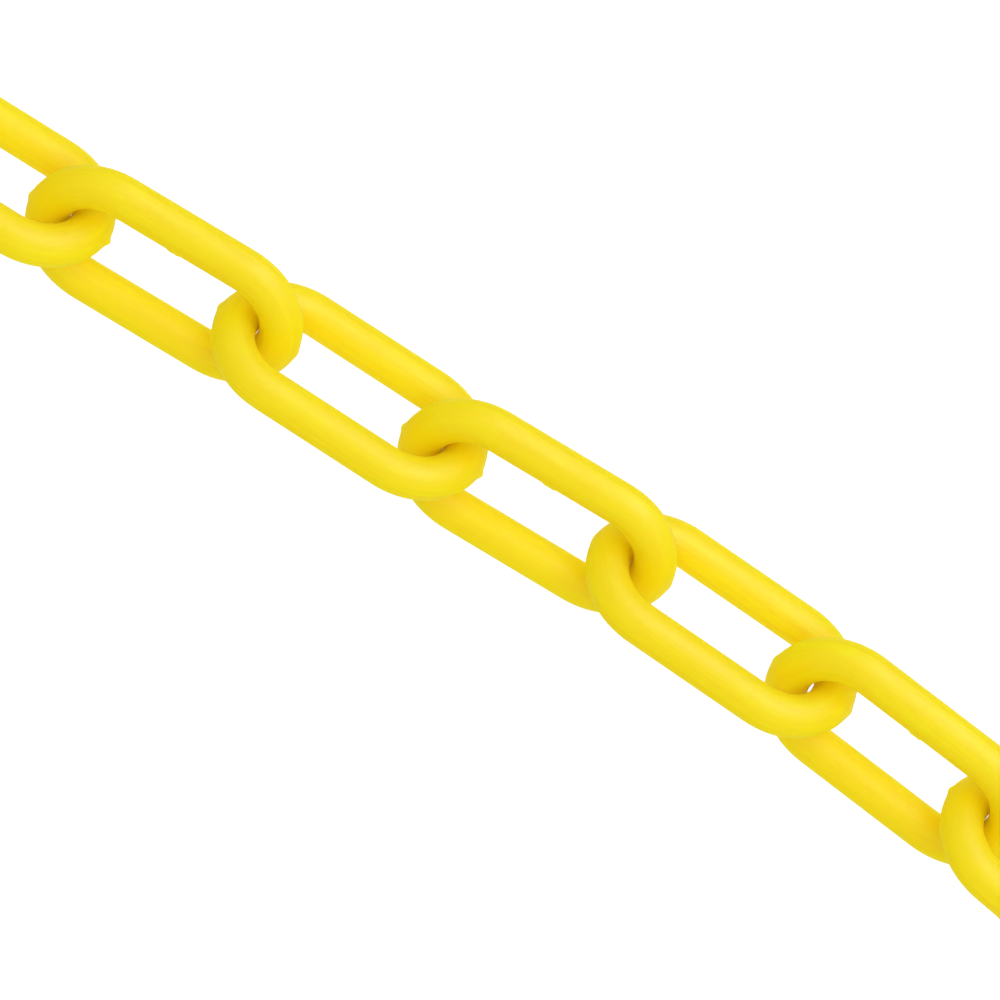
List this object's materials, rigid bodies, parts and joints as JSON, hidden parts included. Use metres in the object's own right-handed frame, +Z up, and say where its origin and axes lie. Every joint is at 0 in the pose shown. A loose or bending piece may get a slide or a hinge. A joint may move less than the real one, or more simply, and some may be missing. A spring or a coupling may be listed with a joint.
{
  "type": "plastic barrier chain",
  "caption": "Length of moulded plastic barrier chain, made of loose closed links threaded through each other, to hang between posts.",
  "frame": {"origin": "on the floor, under the middle of the chain's overall box", "axes": "+X along the chain, +Z up, chain laid out on the floor"},
  "size_m": [1.0106, 0.0372, 0.0243],
  "materials": {
    "yellow_plastic": "satin moulded polyethylene, coloured through"
  },
  "bodies": {
    "link_01": {"link_01": "yellow_plastic"},
    "link_02": {"link_02": "yellow_plastic"},
    "link_03": {"link_03": "yellow_plastic"},
    "link_04": {"link_04": "yellow_plastic"},
    "link_05": {"link_05": "yellow_plastic"},
    "link_06": {"link_06": "yellow_plastic"},
    "link_07": {"link_07": "yellow_plastic"},
    "link_08": {"link_08": "yellow_plastic"},
    "link_09": {"link_09": "yellow_plastic"},
    "link_10": {"link_10": "yellow_plastic"},
    "link_11": {"link_11": "yellow_plastic"},
    "link_12": {"link_12": "yellow_plastic"},
    "link_13": {"link_13": "yellow_plastic"},
    "link_14": {"link_14": "yellow_plastic"},
    "link_15": {"link_15": "yellow_plastic"},
    "link_16": {"link_16": "yellow_plastic"},
    "link_17": {"link_17": "yellow_plastic"},
    "link_18": {"link_18": "yellow_plastic"},
    "link_19": {"link_19": "yellow_plastic"},
    "link_20": {"link_20": "yellow_plastic"},
    "link_21": {"link_21": "yellow_plastic"},
    "link_22": {"link_22": "yellow_plastic"},
    "link_23": {"link_23": "yellow_plastic"},
    "link_24": {"link_24": "yellow_plastic"},
    "link_25": {"link_25": "yellow_plastic"}
  },
  "joints": [
    {"name": "link_14_swing", "type": "hinge", "parent": "link_13", "child": "link_14", "pos_m": [0.02441, 0.00677, 0.01213], "axis": [-0.0308, 0.7064, 0.7071], "range_deg": [-125, 125]},
    {"name": "link_15_swing", "type": "hinge", "parent": "link_14", "child": "link_15", "pos_m": [0.06429, 0.00582, 0.01213], "axis": [-0.0123, -0.707, 0.7071], "range_deg": [-125, 125]},
    {"name": "link_16_swing", "type": "hinge", "parent": "link_15", "child": "link_16", "pos_m": [0.10366, 0.00284, 0.01213], "axis": [-0.0493, -0.7054, -0.7071], "range_deg": [-125, 125]},
    {"name": "link_17_swing", "type": "hinge", "parent": "link_16", "child": "link_17", "pos_m": [0.14312, -0.00222, 0.01213], "axis": [0.0862, 0.7018, -0.7071], "range_deg": [-125, 125]},
    {"name": "link_18_swing", "type": "hinge", "parent": "link_17", "child": "link_18", "pos_m": [0.18287, -0.00555, 0.01213], "axis": [0.0616, 0.7044, 0.7071], "range_deg": [-125, 125]},
    {"name": "link_19_swing", "type": "hinge", "parent": "link_18", "child": "link_19", "pos_m": [0.22274, -0.00673, 0.01213], "axis": [-0.0247, -0.7067, 0.7071], "range_deg": [-125, 125]},
    {"name": "link_20_swing", "type": "hinge", "parent": "link_19", "child": "link_20", "pos_m": [0.26241, -0.00582, 0.01213], "axis": [0.0123, -0.707, -0.7071], "range_deg": [-125, 125]},
    {"name": "link_21_swing", "type": "hinge", "parent": "link_20", "child": "link_21", "pos_m": [0.30223, -0.00359, 0.01213], "axis": [-0.037, 0.7061, -0.7071], "range_deg": [-125, 125]},
    {"name": "link_22_swing", "type": "hinge", "parent": "link_21", "child": "link_22", "pos_m": [0.34191, -0.00075, 0.01213], "axis": [-0.0493, 0.7054, 0.7071], "range_deg": [-125, 125]},
    {"name": "link_23_swing", "type": "hinge", "parent": "link_22", "child": "link_23", "pos_m": [0.38148, 0.00049, 0.01213], "axis": [0.0247, -0.7067, 0.7071], "range_deg": [-125, 125]},
    {"name": "link_24_swing", "type": "hinge", "parent": "link_23", "child": "link_24", "pos_m": [0.42136, 0.00035, 0.01213], "axis": [0, -0.7071, -0.7071], "range_deg": [-125, 125]},
    {"name": "link_25_swing", "type": "hinge", "parent": "link_24", "child": "link_25", "pos_m": [0.46113, -0.00042, 0.01213], "axis": [0.0123, 0.707, -0.7071], "range_deg": [-125, 125]},
    {"name": "link_12_swing", "type": "hinge", "parent": "link_13", "child": "link_12", "pos_m": [-0.02354, 0.00467, 0.01213], "axis": [-0.0308, 0.7064, 0.7071], "range_deg": [-125, 125]},
    {"name": "link_11_swing", "type": "hinge", "parent": "link_12", "child": "link_11", "pos_m": [-0.06343, 0.00447, 0.01213], "axis": [0.0062, -0.7071, 0.7071], "range_deg": [-125, 125]},
    {"name": "link_10_swing", "type": "hinge", "parent": "link_11", "child": "link_10", "pos_m": [-0.10322, 0.00259, 0.01213], "axis": [0.0308, -0.7064, -0.7071], "range_deg": [-125, 125]},
    {"name": "link_09_swing", "type": "hinge", "parent": "link_10", "child": "link_09", "pos_m": [-0.14308, 0.00161, 0.01213], "axis": [-0.0185, 0.7069, -0.7071], "range_deg": [-125, 125]},
    {"name": "link_08_swing", "type": "hinge", "parent": "link_09", "child": "link_08", "pos_m": [-0.18284, 0.00019, 0.01213], "axis": [-0.0247, 0.7067, 0.7071], "range_deg": [-125, 125]},
    {"name": "link_07_swing", "type": "hinge", "parent": "link_08", "child": "link_07", "pos_m": [-0.22266, -0.00197, 0.01213], "axis": [0.037, -0.7061, 0.7071], "range_deg": [-125, 125]},
    {"name": "link_06_swing", "type": "hinge", "parent": "link_07", "child": "link_06", "pos_m": [-0.26244, -0.00252, 0.01213], "axis": [0.0123, -0.707, -0.7071], "range_deg": [-125, 125]},
    {"name": "link_05_swing", "type": "hinge", "parent": "link_06", "child": "link_05", "pos_m": [-0.30201, -0.00168, 0.01213], "axis": [0.0123, 0.707, -0.7071], "range_deg": [-125, 125]},
    {"name": "link_04_swing", "type": "hinge", "parent": "link_05", "child": "link_04", "pos_m": [-0.34183, 0.00055, 0.01213], "axis": [0.037, 0.7061, 0.7071], "range_deg": [-125, 125]},
    {"name": "link_03_swing", "type": "hinge", "parent": "link_04", "child": "link_03", "pos_m": [-0.38169, 0.00187, 0.01213], "axis": [-0.0247, -0.7067, 0.7071], "range_deg": [-125, 125]},
    {"name": "link_02_swing", "type": "hinge", "parent": "link_03", "child": "link_02", "pos_m": [-0.42137, 0.00172, 0.01213], "axis": [0, -0.7071, -0.7071], "range_deg": [-125, 125]},
    {"name": "link_01_swing", "type": "hinge", "parent": "link_02", "child": "link_01", "pos_m": [-0.46123, 0.00019, 0.01213], "axis": [-0.0247, 0.7067, -0.7071], "range_deg": [-125, 125]}
  ]
}
